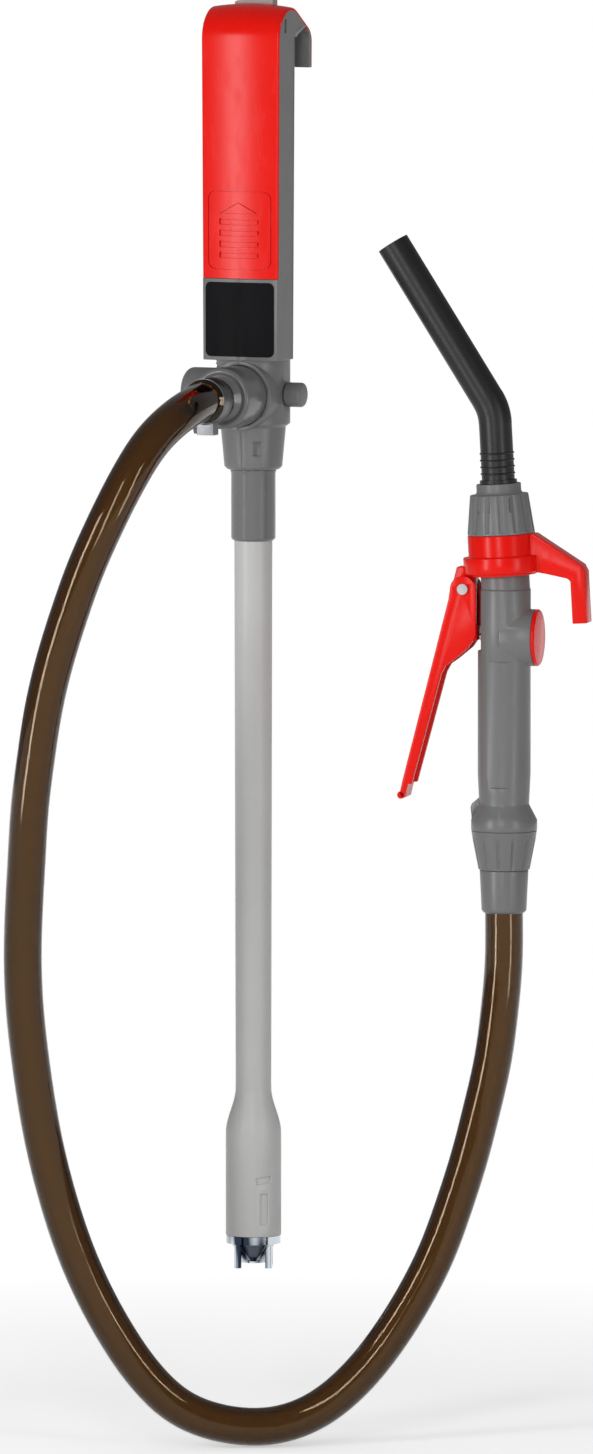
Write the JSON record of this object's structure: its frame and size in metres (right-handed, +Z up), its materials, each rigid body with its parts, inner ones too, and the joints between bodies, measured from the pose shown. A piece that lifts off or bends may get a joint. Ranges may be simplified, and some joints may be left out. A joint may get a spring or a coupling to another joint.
{
  "type": "battery fuel transfer pump",
  "caption": "Battery pump head with hanging hook and sliding cover, long suction pipe with strainer foot, and a hose to a lever nozzle with a bent spout.",
  "frame": {"origin": "on the suction pipe's axis, at the lower rim of the foot barrel", "axes": "+Z up along the pipe towards the head, -Y out of the outlet at the front, +X towards the nozzle"},
  "size_m": [0.349, 0.2423, 0.9828],
  "materials": {
    "grey_plastic": "fine satin moulding grain",
    "red_plastic": "semi-gloss",
    "pale_plastic": "satin",
    "black_plastic": "satin",
    "black_plate": "satin film",
    "slider_plastic": "satin",
    "bright_metal": "bright plated",
    "steel": "bright zinc plated",
    "brass_plated": "satin",
    "dark_screen": "fine mesh",
    "rubber": "dull",
    "hose_vinyl": "glossy, smoked brown vinyl",
    "cell_wrap": "plain wrap",
    "wire_sheath": "satin"
  },
  "bodies": {
    "pump": {"case_left": "grey_plastic", "case_right": "grey_plastic", "rating_plate": "black_plate", "case_screws": "steel", "battery_tray": "black_plastic", "battery_cells": "cell_wrap", "battery_contacts": "brass_plated", "switch_body": "black_plastic", "lead_wires": "wire_sheath", "valve_body": "grey_plastic", "outlet_tail": "black_plastic", "pump_hose_cuff": "hose_vinyl", "clamp_band": "steel", "clamp_housing": "steel", "pipe_collar": "grey_plastic", "collar_seal": "rubber", "suction_pipe": "pale_plastic", "lead_conduit": "black_plastic", "foot_barrel": "pale_plastic", "pump_motor": "steel", "motor_carrier": "black_plastic", "shaft_seal": "rubber", "strainer_cage": "bright_metal", "strainer_screen": "dark_screen", "hose": "hose_vinyl", "nozzle_hose_cuff": "hose_vinyl", "hose_sleeve": "grey_plastic", "nozzle_tail": "black_plastic", "swivel_seal": "rubber"},
    "cover": {"battery_door": "red_plastic"},
    "switch": {"switch_slider": "slider_plastic"},
    "flow_valve": {"flow_knob": "grey_plastic", "valve_barrel": "pale_plastic", "barrel_seals": "rubber", "spindle_cap": "grey_plastic"},
    "rotor": {"motor_shaft": "steel", "impeller": "black_plastic"},
    "worm": {"clamp_screw": "steel"},
    "nozzle": {"swivel_nut": "grey_plastic", "nozzle_body": "grey_plastic", "hook_collar": "red_plastic", "lever_pin": "steel", "stem_seal": "rubber", "valve_cap": "red_plastic", "cap_seal": "rubber", "spout": "black_plastic", "spout_seal": "rubber", "valve_spring": "steel"},
    "trigger": {"lever": "red_plastic"},
    "poppet": {"valve_stem": "steel", "valve_disc": "rubber"},
    "spout_clamp": {"spout_nut": "grey_plastic"}
  },
  "joints": [
    {"name": "door_slide", "type": "slide", "parent": "pump", "child": "cover", "axis": [0, 0, 1], "range_m": [0, 0.15]},
    {"name": "switch_slide", "type": "slide", "parent": "pump", "child": "switch", "axis": [1, 0, 0], "range_m": [0, 0.005]},
    {"name": "flow_valve_turn", "type": "hinge", "parent": "pump", "child": "flow_valve", "pos_m": [0, 0, 0.578], "axis": [1, 0, 0], "range_deg": [0, 90]},
    {"name": "impeller_spin", "type": "hinge", "parent": "pump", "child": "rotor", "pos_m": [0, 0, 0.01], "axis": [0, 0, 1], "continuous": true},
    {"name": "clamp_screw_turn", "type": "hinge", "parent": "pump", "child": "worm", "pos_m": [0, -0.079, 0.5588], "axis": [1, 0, 0], "continuous": true},
    {"name": "nozzle_swivel", "type": "hinge", "parent": "pump", "child": "nozzle", "pos_m": [0.1855, 0, 0.265], "axis": [0, 0, 1], "continuous": true},
    {"name": "lever_hinge", "type": "hinge", "parent": "nozzle", "child": "trigger", "pos_m": [0.15921, -0.00464, 0.45], "axis": [0.1736, -0.9848, 0], "range_deg": [0, 11], "stiffness_Nm_per_rad": 1.2, "springref_deg": -5.73},
    {"name": "valve_stem_slide", "type": "slide", "parent": "nozzle", "child": "poppet", "axis": [0.9848, 0.1736, 0], "range_m": [0, 0.0069], "deforming": ["valve_spring"]},
    {"name": "spout_nut_turn", "type": "hinge", "parent": "nozzle", "child": "spout_clamp", "pos_m": [0.18259, -0.00051, 0.50092], "axis": [-0.055, -0.0097, 0.9984], "range_deg": [0, 180]}
  ],
  "couplings": [
    {"joint": "valve_stem_slide", "follows": "lever_hinge", "m_per_rad": 0.0355}
  ]
}
